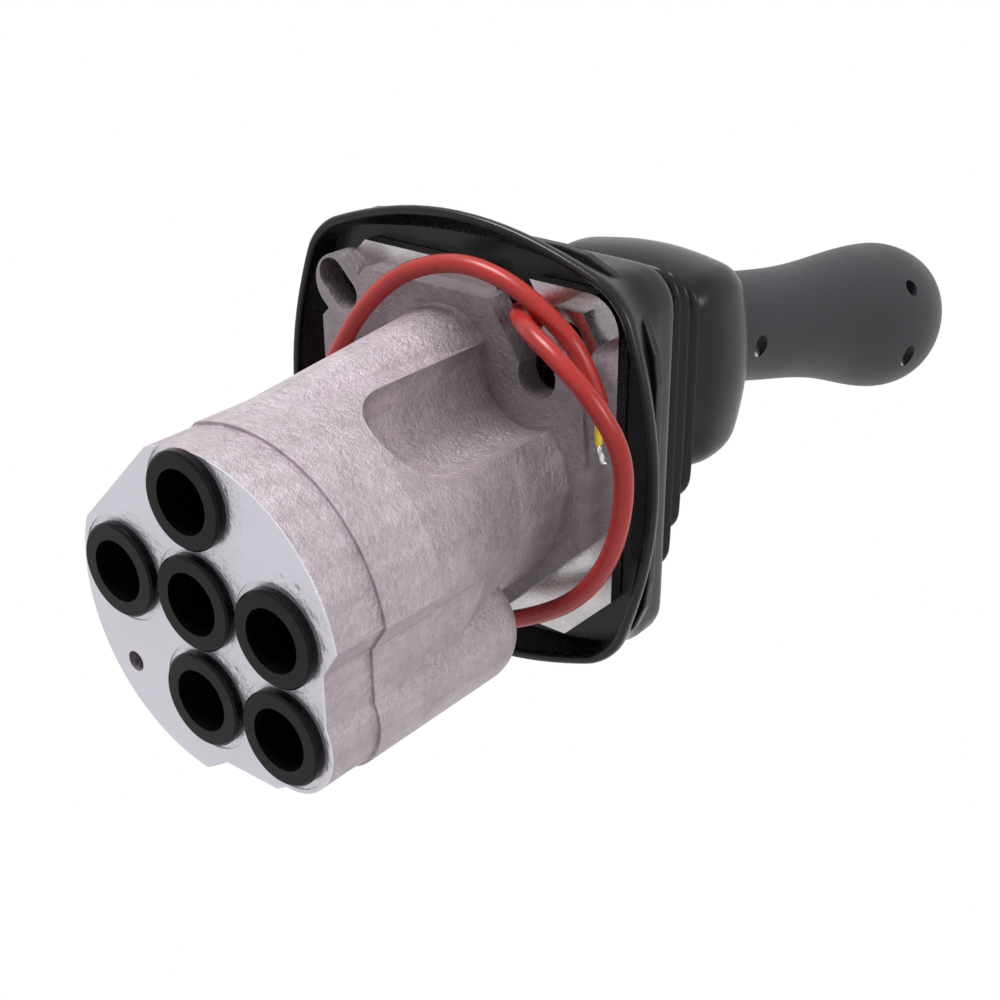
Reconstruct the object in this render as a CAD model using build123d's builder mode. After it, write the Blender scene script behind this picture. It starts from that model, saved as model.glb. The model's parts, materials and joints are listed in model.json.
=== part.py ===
"""Hydraulic pilot joystick valve: a six-port pilot valve block with a cranked joystick.

Units are millimetres. The origin is on the lever axis at the underside of the steel
mounting plate, which is also the top of the casting's flange. +Z runs up the lever
axis towards the grip, and the hose ports face down.
"""
import math
import os

from build123d import *

os.makedirs("parts", exist_ok=True)

# ------------------------------------------------------------------ driving dimensions
# hose ports
port_pitch = 24.0            # spacing of the port cross
port_offset = (4.5, 4.0)     # centre port, measured from the lever axis
port_r = 8.3                 # tapped bore of a port
port_depth = 17.0
spotface_r = 12.6
spotface_depth = 0.3
port_face_z = -94.0          # machined port face
tapping_r = 2.5              # small tapped hole beside the ports
tapping_depth = 12.0

# shipping plugs in the ports
plug_head_r = 11.1
plug_head_t = 2.3
plug_wall = 0.9
plug_length = 12.5
plug_gap = 0.06              # play of a plug in its port

# valve block
block_r = 39.4
block_centre = (6.0, 8.5)
ledge_z = -80.0              # parting line above the port face
ledge_step = 0.8
waist_z = -62.0              # the block starts to narrow here
neck_r = 35.0
neck_centre = (1.5, 2.5)
neck_z = -24.0
lobe_r = 13.5                # lobe round the corner port
lobe_top_z = -27.0
lobe_shoulder_r = 10.0
groove_x = 40.6              # floors of the shallow grooves beside the lobe
groove_y = 43.3
groove_start = 9.0
groove_run = (4.7, 7.3)      # slanted entry of a groove: depth and length
groove_span = 30.0
corner_flat = 36.2           # bevelled corner: x + y = -corner_flat
pocket_turns = (-45, 135, 225)
pocket_r = 14.0              # wrench pockets at the corners of the neck
pocket_reach = 36.0
pocket_low_z = -44.0

# flange of the casting
flange_t = 7.0
flange_half = 41.5
flange_edge_r = 2.0
ear_turn = 225               # the eared corner
ear_bevel_reach = 47.7       # bevel behind the ear, from the lever axis
far_bevel_reach = 41.0       # bevel at the opposite corner
ear_width = 15.6
ear_length = 28.0
ear_reach = 58.0             # tip of the ear, from the lever axis
ear_slot_reach = 50.2        # middle of the ear's slot
slot_width = 8.6
slot_length = 14.5
notch_r = 5.3                # end of the open slots
notch_centre = (27.8, -25.2)
notch_tip = (37.0, -26.2)
notch_edge = (42.0, -21.0)
notch_flare = (-11.5, -17.3) # run of the wire slot's outer wall

# mounting plate and its weld nuts
nut_reach = 36.5             # weld nuts are 73 mm apart each way
plate_half = nut_reach + 9.5
plate_t = 4.0
plate_bevel_reach = 55.2     # bevels at the other two corners, from the lever axis
plate_corner_r = 9.0
dowel_r = 2.0
dowel_site = (33.0, 14.0)    # the second dowel is opposite
dowel_depth = 5.0
nut_af = 14.0
nut_h = 6.5
nut_bore_r = 3.4
nut_mouth_r = 4.3
bolt_clear_r = 4.4

# pilot stages: rods, guides, springs and spools
rod_circle_r = 22.0
rod_r = 4.0
rod_play = 0.05
guide_r = 10.0
guide_play = 0.06
guide_depth = 10.9
guide_neck_r = 6.0
guide_top_z = 11.0
seal_r = 6.5
seal_t = 2.6
oring_r = 0.55
seat_r = 6.9
seat_t = 4.0
chamber_r = 7.5
chamber_z = -62.0
spring_wire_r = 0.8
spring_mean_r = 5.2
spring_turns = 6
spool_r = 3.0
spool_land_r = 3.0
spool_end_z = -70.0

# universal joint
pivot_z = 24.0               # height of the joint's centre
tilt_deg = 19.0              # lever travel each way
stud_r = 6.0
stud_length = 16.0
stud_play = 0.05
base_af = 22.0
base_t = 5.0
arm_inner = 7.2
arm_outer = 12.0
arm_eye_r = 5.5
pin_r = 3.0
pin_play = 0.04
fork_bar_half = 4.5
fork_bar_t = 3.0
cross_half = 6.6
cross_half_t = 5.0
contact_rise = 6.0           # rod tip centres above the pivot
tip_gap = 0.3                # play between the rods and the disc

# tilting disc and lever
disc_r = 27.0
disc_t = 5.0
lever_stud_r = 6.0
lever_stud_length = 14.0     # into the shaft's foot
disc_nut_af = 24.0
disc_nut_h = 8.0
shaft_r = 7.0
shaft_hex_af = 19.0
shaft_hex_t = 9.0
crank_z = 94.0               # where the lever cranks over
crank_tilt = 11.2
crank_azimuth = 60.0
shaft_in_grip = 44.0

# grip
grip_base = -5.0             # along the cranked axis, from the crank
grip_top = 145.0
grip_hollow_low = 12.0
grip_hollow_high = 135.0
grip_wall = 3.0
grip_screw_r = 1.5
grip_screw_head_r = 2.7
grip_screw_head_t = 2.5
grip_screw_reach = 8.0       # screw heads and tips, from the parting plane
grip_boss_r = 4.4
# station along the axis and distance to the side of the screws and the button
grip_screw_sites = [(26.0, -9.2), (110.0, 1.0), (107.0, -20.5)]
button_site = (122.0, 0.0)
button_r = 8.0
button_flange_r = 9.0
button_flange_t = 2.0
button_reach = 22.4          # outer face, from the parting plane
button_inner = 12.0
button_play = 0.25
switch_size = 12.0
switch_t = 8.5

# boot: height, half width, corner radius and centre of its sections
boot_wall = 2.5
boot_sections = [
    (-3.0, plate_half + 13.5, 43.0, 0.0, 0.0),
    (7.0, plate_half + 10.0, 30.0, 0.0, 0.0),
    (12.0, plate_half + 3.5, 10.0, 0.0, 0.0),
    (18.0, plate_half + 3.5, 9.0, 0.0, 0.0),
    (23.0, 40.0, 8.0, 2.0, -2.0),
    (29.0, 40.5, 8.0, 3.0, -4.0),
    (34.0, 34.5, 7.0, 3.5, -4.0),
    (39.5, 35.5, 8.0, 4.0, -4.5),
    (44.5, 30.5, 8.0, 4.5, -4.5),
    (50.0, 31.0, 8.0, 5.0, -4.5),
    (55.0, 27.0, 8.0, 5.5, -4.5),
    (62.0, 28.5, 12.0, 6.0, -4.5),
    (70.0, 30.0, 15.0, 6.0, -4.5),
    (78.0, 29.5, 16.0, 6.0, -4.5),
    (86.0, 25.5, 16.0, 6.0, -4.5),
    (92.0, 20.0, 19.0, 2.0, -1.5),
]
boot_seat_gap = 0.3
boot_ledge_top_z = 7.0
boot_ledge_half = 39.0
boot_collar_r = 16.8

# wire sleeve and the stripped wire at its end
sleeve_r = 2.3
sleeve_route = [
    (20.0, -31.0, 14.0),
    (18.7, -36.3, 3.0),
    (22.7, -41.0, -8.0),
    (32.0, -41.5, -17.0),
    (44.0, -38.0, -21.0),
    (54.5, -29.5, -20.5),
    (60.0, -17.5, -17.0),
    (58.5, -1.0, -14.5),
    (53.0, 14.5, -12.5),
    (44.0, 27.0, -12.0),
    (31.0, 36.0, -12.0),
    (16.0, 43.0, -12.0),
    (-2.0, 46.5, -12.0),
    (-20.0, 42.5, -12.0),
    (-34.5, 30.5, -12.0),
    (-41.5, 13.5, -12.0),
    (-40.0, -4.5, -12.0),
    (-32.0, -20.0, -11.5),
    (-21.5, -34.5, -12.0),
    (-8.5, -45.5, -12.0),
    (7.5, -51.0, -11.5),
    (22.5, -49.5, -11.5),
    (35.5, -42.5, -11.0),
    (43.5, -34.0, -9.5),
    (46.5, -23.5, -8.0),
]
wire_r = 0.9
wire_route = [(46.5, -22.9, -7.9), (45.2, -17.5, -6.4), (45.0, -12.5, -5.4)]
strands_r = 0.75
strands_route = [(45.0, -12.1, -5.4), (45.3, -9.8, -5.0), (46.3, -7.6, -5.0)]

# ------------------------------------------------------------------ derived places
plug_front_z = port_face_z + spotface_depth - plug_head_t
plate_top_z = plate_t
tip_centre_z = pivot_z + contact_rise - tip_gap
disc_z = pivot_z + contact_rise + rod_r
seat_top_z = -guide_depth - rod_circle_r * math.tan(math.radians(tilt_deg)) - 0.5
seat_low_z = seat_top_z - seat_t
rod_sites = [
    (rod_circle_r, 0.0),
    (0.0, rod_circle_r),
    (-rod_circle_r, 0.0),
    (0.0, -rod_circle_r),
]
port_sites = [
    (port_offset[0], port_offset[1] - port_pitch),
    (port_offset[0] - port_pitch, port_offset[1]),
    port_offset,
    (port_offset[0] + port_pitch, port_offset[1]),
    (port_offset[0], port_offset[1] + port_pitch),
    (port_offset[0] + port_pitch, port_offset[1] + port_pitch),
]
tapping_site = (port_offset[0] - port_pitch, port_offset[1] + port_pitch)
nut_sites = [(nut_reach, -nut_reach), (-nut_reach, nut_reach)]
diagonal = math.sqrt(0.5)
wire_slot_turn = math.degrees(math.atan2(notch_flare[1], notch_flare[0]))
dowel_sites = [dowel_site, (-dowel_site[0], -dowel_site[1])]


def along(turn, reach):
    """Place turned by an angle in degrees and moved out along it from the lever axis."""
    angle = math.radians(turn)
    return Location((reach * math.cos(angle), reach * math.sin(angle)), turn)


def save(part, name):
    """Label one finished piece and write it as its own file."""
    part.label = name
    export_step(part, f"parts/{name}.step")


# ------------------------------------------------------------------ valve body
def groove_outlines(grow):
    """The two shallow grooves down the sides next to the port lobe."""
    depth, run = groove_run
    with BuildSketch() as grooves:
        for floor, turned in ((groove_x + grow, False), (groove_y + grow, True)):
            corners = [
                (floor + depth, groove_start - run),
                (floor, groove_start),
                (floor, groove_start + groove_span),
                (floor + groove_span, groove_start + groove_span),
                (floor + groove_span, groove_start - run),
            ]
            if turned:
                corners = [(y, x) for x, y in corners]
            with BuildLine():
                Polyline(*corners, close=True)
            make_face()
    return grooves.sketch


def block_outline(grow):
    """Outline of the lower block: a circle with a port lobe, two grooves and a bevel."""
    with BuildSketch() as outline:
        with Locations(block_centre):
            Circle(block_r + grow)
        add(groove_outlines(grow), mode=Mode.SUBTRACT)
        with Locations(port_sites[5]):
            Circle(lobe_r + grow)
        reach = (corner_flat + grow) * diagonal
        with Locations(Location((-(reach + 20) * diagonal, -(reach + 20) * diagonal), 45)):
            Rectangle(40, 90, mode=Mode.SUBTRACT)
    return outline.sketch


def notch_outline(side):
    """The cut-away corner of the flange with its open round-ended slot."""
    left = (notch_centre[0] - notch_r * 0.93, notch_centre[1] - 2.3)
    right = (notch_centre[0] + notch_r * 0.98, notch_centre[1] - 2.3)
    outer_left = (left[0] + notch_flare[0], left[1] + notch_flare[1])
    with BuildSketch() as notch:
        with BuildLine():
            Polyline(
                left,
                outer_left,
                (outer_left[0], -60),
                (60, -60),
                (60, notch_edge[1]),
                notch_edge,
                notch_tip,
                right,
            )
            ThreePointArc(right, (notch_centre[0], notch_centre[1] + notch_r), left)
        make_face()
    return notch.sketch.rotate(Axis.Z, side)


block_low = block_outline(0.0)
block_high = block_outline(ledge_step)
notch_a = notch_outline(0)
notch_b = notch_outline(180)

with BuildPart() as lobe_column:
    with BuildSketch(Plane.XY.offset(waist_z)):
        with Locations(port_sites[5]):
            Circle(lobe_r + ledge_step)
    extrude(amount=lobe_top_z - waist_z)
    fillet(lobe_column.faces().sort_by(Axis.Z)[-1].edges(), lobe_shoulder_r)

with BuildPart() as casting_bores:
    # stepped bores of the four pilot stages
    with BuildSketch():
        with Locations(*rod_sites):
            Circle(guide_r + guide_play)
    extrude(amount=-guide_depth)
    with BuildSketch():
        with Locations(*rod_sites):
            Circle(chamber_r)
    extrude(amount=chamber_z)
    with BuildSketch():
        with Locations(*rod_sites):
            Circle(spool_land_r + rod_play)
    extrude(amount=port_face_z + port_depth - 2.0)
    # dowel holes
    with BuildSketch():
        with Locations(*dowel_sites):
            Circle(dowel_r + 0.03)
    extrude(amount=-dowel_depth - 0.3)
    # tapped hole for the universal joint's stud
    with BuildSketch():
        Circle(stud_r + stud_play)
    extrude(amount=-stud_length - 4.0)

with BuildPart() as valve_body:
    # port end, up to the parting ledge
    with BuildSketch(Plane.XY.offset(port_face_z)):
        add(block_low)
    extrude(amount=ledge_z - port_face_z)
    with BuildSketch(Plane.XY.offset(ledge_z)):
        add(block_high)
    extrude(amount=waist_z - ledge_z)
    # the block narrows into the neck
    with BuildSketch(Plane.XY.offset(waist_z)):
        with Locations(block_centre):
            Circle(block_r)
    with BuildSketch(Plane.XY.offset(neck_z)):
        with Locations(neck_centre):
            Circle(neck_r)
    loft()
    with BuildSketch(Plane.XY.offset(waist_z)):
        add(groove_outlines(0.0))
    extrude(amount=neck_z - waist_z, mode=Mode.SUBTRACT)
    with BuildSketch(Plane.XY.offset(neck_z)):
        with Locations(neck_centre):
            Circle(neck_r)
    extrude(amount=-flange_t - neck_z)
    # flared bosses round the four pilot stages
    for site in rod_sites:
        with BuildSketch(Plane.XY.offset(ledge_z)):
            with Locations(site):
                Circle(9.0)
        with BuildSketch(Plane.XY.offset(-flange_t)):
            with Locations(site):
                Circle(15.5)
        loft()
    # column of the corner port, with a rounded shoulder
    with BuildSketch(Plane.XY.offset(waist_z)):
        with Locations((port_sites[5][0] - 8, port_sites[5][1] - 8)):
            Rectangle(24, 24)
    extrude(amount=lobe_top_z - lobe_shoulder_r - waist_z)
    add(lobe_column.part)
    # wrench pockets at three corners of the neck
    for turn in pocket_turns:
        pocket_x = pocket_reach * math.cos(math.radians(turn))
        pocket_y = pocket_reach * math.sin(math.radians(turn))
        with BuildSketch(Plane.XY.offset(pocket_low_z)):
            with Locations((pocket_x, pocket_y)):
                Circle(pocket_r)
        extrude(amount=-flange_t - pocket_low_z, mode=Mode.SUBTRACT)
        with Locations((pocket_x, pocket_y, pocket_low_z)):
            Sphere(pocket_r, mode=Mode.SUBTRACT)
    # hose ports and the small tapped hole
    with BuildSketch(Plane.XY.offset(port_face_z)):
        with Locations(*port_sites):
            Circle(spotface_r)
    extrude(amount=spotface_depth, mode=Mode.SUBTRACT)
    with BuildSketch(Plane.XY.offset(port_face_z)):
        with Locations(*port_sites):
            Circle(port_r)
    extrude(amount=port_depth, mode=Mode.SUBTRACT)
    with BuildSketch(Plane.XY.offset(port_face_z)):
        with Locations(tapping_site):
            Circle(tapping_r)
    extrude(amount=tapping_depth, mode=Mode.SUBTRACT)
    add(casting_bores.part, mode=Mode.SUBTRACT)
save(valve_body.part, "valve_body")

# flange at the casting's top, with one slotted ear and two cut-away corners
with BuildPart() as body_flange:
    with BuildSketch(Plane.XY.offset(-flange_t)) as flange:
        Rectangle(2 * flange_half, 2 * flange_half)
        fillet(flange.vertices(), flange_edge_r)
        with Locations(along(ear_turn, ear_bevel_reach + 10)):
            Rectangle(20, 60, mode=Mode.SUBTRACT)
        with Locations(along(ear_turn + 180, far_bevel_reach + 15)):
            Rectangle(30, 60, mode=Mode.SUBTRACT)
        with Locations(along(ear_turn, ear_reach - ear_length / 2)):
            SlotOverall(ear_length, ear_width)
        add(notch_a, mode=Mode.SUBTRACT)
        add(notch_b, mode=Mode.SUBTRACT)
        with Locations(along(ear_turn, ear_slot_reach)):
            SlotOverall(slot_length, slot_width, mode=Mode.SUBTRACT)
    extrude(amount=flange_t)
    add(casting_bores.part, mode=Mode.SUBTRACT)
save(body_flange.part, "body_flange")

# ------------------------------------------------------------------ shipping plugs
for index, (plug_x, plug_y) in enumerate(port_sites, start=1):
    with BuildPart() as port_plug:
        with BuildSketch(Plane.XY.offset(plug_front_z)):
            with Locations((plug_x, plug_y)):
                Circle(plug_head_r)
        extrude(amount=plug_head_t)
        chamfer(port_plug.edges().sort_by(Axis.Z)[0], 0.5)
        with BuildSketch(Plane.XY.offset(plug_front_z + plug_head_t)):
            with Locations((plug_x, plug_y)):
                Circle(port_r - plug_gap)
        extrude(amount=plug_length)
        with BuildSketch(Plane.XY.offset(plug_front_z)):
            with Locations((plug_x, plug_y)):
                Circle(port_r - plug_gap - plug_wall)
        extrude(amount=plug_head_t + plug_length - 2.0, mode=Mode.SUBTRACT)
    save(port_plug.part, f"port_plug_{index}")

# ------------------------------------------------------------------ mounting plate
with BuildPart() as mounting_plate:
    with BuildSketch() as plate_shape:
        Rectangle(2 * plate_half, 2 * plate_half)
        fillet(plate_shape.vertices(), plate_corner_r)
        for turn in (ear_turn, ear_turn + 180):
            with Locations(along(turn, plate_bevel_reach + 15)):
                Rectangle(30, 80, mode=Mode.SUBTRACT)
        with Locations(along(ear_turn, ear_slot_reach)):
            SlotOverall(slot_length + 5.0, slot_width + 3.0, mode=Mode.SUBTRACT)
        with Locations(Location(notch_centre, wire_slot_turn) * Location((20, 0))):
            Rectangle(40, 2 * notch_r, mode=Mode.SUBTRACT)
        with Locations(notch_centre):
            Circle(notch_r, mode=Mode.SUBTRACT)
        with Locations(*nut_sites):
            Circle(bolt_clear_r, mode=Mode.SUBTRACT)
        with Locations(*rod_sites):
            Circle(guide_neck_r + 0.2, mode=Mode.SUBTRACT)
        with Locations(*dowel_sites):
            Circle(dowel_r + 0.03, mode=Mode.SUBTRACT)
        Circle(stud_r + 0.3, mode=Mode.SUBTRACT)
    extrude(amount=plate_t)
save(mounting_plate.part, "mounting_plate")

with BuildPart() as plate_dowels:
    with BuildSketch(Plane.XY.offset(-dowel_depth)):
        with Locations(*dowel_sites):
            Circle(dowel_r)
    extrude(amount=dowel_depth + plate_t)
save(plate_dowels.part, "plate_dowels")

for name, (nut_x, nut_y) in zip(("weld_nut_front", "weld_nut_rear"), nut_sites):
    with BuildPart() as weld_nut:
        with BuildSketch(Plane.XY.offset(-nut_h)):
            with Locations((nut_x, nut_y)):
                RegularPolygon(nut_af / 2, 6, major_radius=False)
                Circle(nut_bore_r, mode=Mode.SUBTRACT)
        extrude(amount=nut_h)
        mouth = weld_nut.edges().filter_by(GeomType.CIRCLE).sort_by(Axis.Z)[0]
        chamfer(mouth, nut_mouth_r - nut_bore_r)
    save(weld_nut.part, name)

# ------------------------------------------------------------------ pilot stages
for index, (rod_x, rod_y) in enumerate(rod_sites, start=1):
    with BuildPart() as guide_plug:
        with BuildSketch(Plane.XY.offset(-guide_depth)):
            with Locations((rod_x, rod_y)):
                Circle(guide_r)
        extrude(amount=guide_depth)
        with BuildSketch():
            with Locations((rod_x, rod_y)):
                Circle(guide_neck_r)
        extrude(amount=guide_top_z)
        chamfer(guide_plug.edges().sort_by(Axis.Z)[-1], 0.8)
        with BuildSketch(Plane.XY.offset(-guide_depth)):
            with Locations((rod_x, rod_y)):
                Circle(seal_r + 0.05)
        extrude(amount=seal_t, mode=Mode.SUBTRACT)
        with BuildSketch(Plane.XY.offset(-guide_depth)):
            with Locations((rod_x, rod_y)):
                Circle(rod_r + rod_play)
        extrude(amount=guide_depth + guide_top_z, mode=Mode.SUBTRACT)
        with BuildSketch(Plane.XY.offset(-5.0 - oring_r - 0.1)):
            with Locations((rod_x, rod_y)):
                Circle(guide_r + 1)
                Circle(guide_r - 2 * oring_r - 0.04, mode=Mode.SUBTRACT)
        extrude(amount=2 * oring_r + 0.2, mode=Mode.SUBTRACT)
    save(guide_plug.part, f"guide_plug_{index}")

    with BuildPart() as rod_seal:
        with BuildSketch(Plane.XY.offset(-guide_depth)):
            with Locations((rod_x, rod_y)):
                Circle(seal_r)
                Circle(rod_r + rod_play, mode=Mode.SUBTRACT)
        extrude(amount=seal_t - 0.1)
    save(rod_seal.part, f"rod_seal_{index}")

    with BuildPart() as push_rod:
        with BuildSketch(Plane.XY.offset(seat_top_z)):
            with Locations((rod_x, rod_y)):
                Circle(rod_r)
        extrude(amount=tip_centre_z - seat_top_z)
        with Locations((rod_x, rod_y, tip_centre_z)):
            Sphere(rod_r)
    save(push_rod.part, f"push_rod_{index}")

    with BuildPart() as spring_seat:
        with BuildSketch(Plane.XY.offset(seat_low_z)):
            with Locations((rod_x, rod_y)):
                Circle(seat_r)
        extrude(amount=seat_t)
        chamfer(spring_seat.edges().sort_by(Axis.Z)[-1], 0.8)
    save(spring_seat.part, f"spring_seat_{index}")

    with BuildPart() as spool:
        with BuildSketch(Plane.XY.offset(spool_end_z)):
            with Locations((rod_x, rod_y)):
                Circle(spool_r)
        extrude(amount=seat_low_z - spool_end_z)
    save(spool.part, f"spool_{index}")

    spring_low = chamber_z + spring_wire_r
    spring_high = seat_low_z - spring_wire_r
    with BuildPart() as return_spring:
        with BuildLine() as coil:
            Helix(
                pitch=(spring_high - spring_low) / spring_turns,
                height=spring_high - spring_low,
                radius=spring_mean_r,
                center=(rod_x, rod_y, spring_low),
            )
        with BuildSketch(Plane(origin=coil.line @ 0, z_dir=coil.line % 0)):
            RegularPolygon(spring_wire_r, 6)
        sweep(is_frenet=True)
    save(return_spring.part, f"return_spring_{index}")

with BuildPart() as guide_orings:
    for rod_x, rod_y in rod_sites:
        with Locations((rod_x, rod_y, -5.0)):
            Torus(guide_r - oring_r, oring_r)
save(guide_orings.part, "guide_orings")

# ------------------------------------------------------------------ universal joint
with BuildPart() as joint_base:
    with BuildSketch(Plane.XY.offset(-stud_length)):
        Circle(stud_r)
    extrude(amount=stud_length + plate_top_z)
    with BuildSketch(Plane.XY.offset(plate_top_z)):
        RegularPolygon(base_af / 2, 6, major_radius=False)
    extrude(amount=base_t)
    for side in (-1, 1):
        arm_plane = Plane.YZ.offset(side * (arm_inner + arm_outer) / 2)
        with BuildSketch(arm_plane):
            with Locations((0, pivot_z)):
                Circle(arm_eye_r)
            with Locations((0, (plate_top_z + base_t - 1 + pivot_z) / 2)):
                Rectangle(2 * arm_eye_r, pivot_z - plate_top_z - base_t + 1)
            with Locations((0, pivot_z)):
                Circle(pin_r + pin_play, mode=Mode.SUBTRACT)
        extrude(amount=(arm_outer - arm_inner) / 2, both=True)
save(joint_base.part, "joint_base")

with BuildPart() as joint_cross:
    with Locations((0, 0, pivot_z)):
        Box(2 * cross_half, 2 * cross_half, 2 * cross_half_t)
    chamfer(joint_cross.edges().filter_by(Axis.Z), 1.5)
    for plane in (Plane.YZ, Plane.XZ):
        with BuildSketch(plane):
            with Locations((0, pivot_z)):
                Circle(pin_r)
        extrude(amount=arm_outer, both=True)
save(joint_cross.part, "joint_cross")

with BuildPart() as joint_fork:
    for side in (-1, 1):
        arm_plane = Plane.XZ.offset(side * (arm_inner + arm_outer) / 2)
        with BuildSketch(arm_plane):
            with Locations((0, pivot_z)):
                Circle(arm_eye_r)
            with Locations((0, (pivot_z + disc_z) / 2)):
                Rectangle(2 * arm_eye_r, disc_z - pivot_z)
            with Locations((0, pivot_z)):
                Circle(pin_r + pin_play, mode=Mode.SUBTRACT)
        extrude(amount=(arm_outer - arm_inner) / 2, both=True)
    with Locations((0, 0, disc_z - fork_bar_t / 2)):
        Box(2 * fork_bar_half, 2 * arm_outer, fork_bar_t)
    with BuildSketch(Plane.XY.offset(disc_z)):
        Circle(lever_stud_r)
    extrude(amount=disc_t + disc_nut_h + lever_stud_length)
save(joint_fork.part, "joint_fork")

with BuildPart() as tilting_disc:
    with BuildSketch(Plane.XY.offset(disc_z)):
        Circle(disc_r)
        Circle(lever_stud_r + 0.06, mode=Mode.SUBTRACT)
    extrude(amount=disc_t)
    chamfer(tilting_disc.edges().filter_by(GeomType.CIRCLE).sort_by(SortBy.RADIUS)[-2:], 0.8)
save(tilting_disc.part, "tilting_disc")

disc_nut_z = disc_z + disc_t
with BuildPart() as disc_nut:
    with BuildSketch(Plane.XY.offset(disc_nut_z)):
        RegularPolygon(disc_nut_af / 2, 6, major_radius=False)
        Circle(lever_stud_r + 0.06, mode=Mode.SUBTRACT)
    extrude(amount=disc_nut_h)
save(disc_nut.part, "disc_nut")

# ------------------------------------------------------------------ lever shaft
crank_azimuth_rad = math.radians(crank_azimuth)
crank_tilt_rad = math.radians(crank_tilt)
crank_point = Vector(0, 0, crank_z)
grip_axis = Vector(
    math.sin(crank_tilt_rad) * math.cos(crank_azimuth_rad),
    math.sin(crank_tilt_rad) * math.sin(crank_azimuth_rad),
    math.cos(crank_tilt_rad),
)
grip_lean = Vector(
    math.cos(crank_tilt_rad) * math.cos(crank_azimuth_rad),
    math.cos(crank_tilt_rad) * math.sin(crank_azimuth_rad),
    -math.sin(crank_tilt_rad),
)
grip_side = grip_lean.cross(grip_axis)
shaft_low_z = disc_nut_z + disc_nut_h


def grip_plane(station):
    """Plane across the grip at a station along its axis; X lies in the lean plane."""
    return Plane(origin=crank_point + grip_axis * station, x_dir=grip_lean, z_dir=grip_axis)


with BuildPart() as lever_shaft:
    with BuildLine() as shaft_path:
        FilletPolyline(
            (0, 0, shaft_low_z),
            crank_point,
            crank_point + grip_axis * shaft_in_grip,
            radius=60,
        )
    with BuildSketch(Plane.XY.offset(shaft_low_z)):
        Circle(shaft_r)
    sweep()
    with BuildSketch(Plane.XY.offset(shaft_low_z)):
        Circle(lever_stud_r + 0.06)
    extrude(amount=lever_stud_length + 0.5, mode=Mode.SUBTRACT)
    with BuildSketch(Plane.XY.offset(shaft_low_z)):
        RegularPolygon(shaft_hex_af / 2, 6, major_radius=False)
        Circle(shaft_r - 0.5, mode=Mode.SUBTRACT)
    extrude(amount=shaft_hex_t)
save(lever_shaft.part, "lever_shaft")

# ------------------------------------------------------------------ grip
# station along the axis, half width in the lean plane, half depth across it, shift in the lean plane
grip_sections = [
    (grip_base, 15.5, 15.5, 0.0),
    (12.0, 16.2, 15.6, 0.0),
    (40.0, 17.4, 15.8, 0.0),
    (60.0, 18.2, 16.2, 0.5),
    (80.0, 20.5, 17.6, 1.0),
    (98.0, 23.6, 19.4, 2.0),
    (110.0, 24.8, 20.3, 2.3),
    (120.0, 24.4, 20.2, 2.0),
    (128.0, 22.4, 18.8, 1.5),
    (135.0, 19.0, 16.2, 0.5),
    (141.0, 14.0, 12.2, -0.5),
    (grip_top, 8.5, 7.5, -1.0),
]


def grip_form(shrink, low, high):
    """The grip's outer form, or its hollow, lofted through elliptical sections."""
    with BuildPart() as form:
        for station, half_width, half_depth, shift in grip_sections:
            if low <= station <= high:
                with BuildSketch(grip_plane(station)):
                    with Locations((shift, 0)):
                        Ellipse(half_width - shrink, half_depth - shrink)
        loft()
    return form.part


grip_outer = grip_form(0.0, grip_base, grip_top)
grip_hollow = grip_form(grip_wall, grip_hollow_low, grip_hollow_high)
parting_plane = Plane(origin=crank_point, x_dir=grip_axis, z_dir=grip_side)
parting_axis = Axis(crank_point, grip_side)

with BuildPart() as grip_bosses:
    with BuildSketch(grip_plane(10.0)):
        Circle(shaft_r + 4.0)
    extrude(amount=shaft_in_grip - 10.0 + 3.0)
    with BuildSketch(parting_plane):
        with Locations(*grip_screw_sites):
            Circle(grip_boss_r)
    extrude(amount=25.0, both=True)
    with BuildSketch(parting_plane):
        with Locations(button_site):
            Circle(switch_size / 2)
    extrude(amount=25.0)
    add(grip_outer, mode=Mode.INTERSECT)

with BuildPart() as grip_whole:
    add(grip_outer)
    add(grip_hollow, mode=Mode.SUBTRACT)
    add(grip_bosses.part)
    # socket of the lever shaft
    add(lever_shaft.part, mode=Mode.SUBTRACT)
    with BuildSketch(grip_plane(grip_base - 1)):
        Circle(shaft_r + 0.15)
    extrude(amount=shaft_in_grip - grip_base + 1.4, mode=Mode.SUBTRACT)
    # screw holes: deep counterbores on the front, blind pilots on the rear
    with BuildSketch(parting_plane.offset(grip_screw_reach)):
        with Locations(*grip_screw_sites):
            Circle(grip_screw_head_r + 0.2)
    extrude(amount=25.0, mode=Mode.SUBTRACT)
    with BuildSketch(parting_plane):
        with Locations(*grip_screw_sites):
            Circle(grip_screw_r + 0.2)
    extrude(amount=grip_screw_reach, mode=Mode.SUBTRACT)
    with BuildSketch(parting_plane.offset(-grip_screw_reach - 0.4)):
        with Locations(*grip_screw_sites):
            Circle(grip_screw_r + 0.03)
    extrude(amount=grip_screw_reach + 0.4, mode=Mode.SUBTRACT)
    # button hole on the rear
    with BuildSketch(parting_plane.offset(-30.0)):
        with Locations(button_site):
            Circle(button_r + button_play)
    extrude(amount=30.0, mode=Mode.SUBTRACT)
    with BuildSketch(parting_plane.offset(-button_inner - button_flange_t - 0.1)):
        with Locations(button_site):
            Circle(button_flange_r + 0.3)
    extrude(amount=button_inner + button_flange_t + 0.1, mode=Mode.SUBTRACT)

for name, side in (("grip_front", Keep.TOP), ("grip_rear", Keep.BOTTOM)):
    with BuildPart() as grip_half:
        add(grip_whole.part)
        split(bisect_by=parting_plane, keep=side)
    save(grip_half.part, name)

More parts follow.
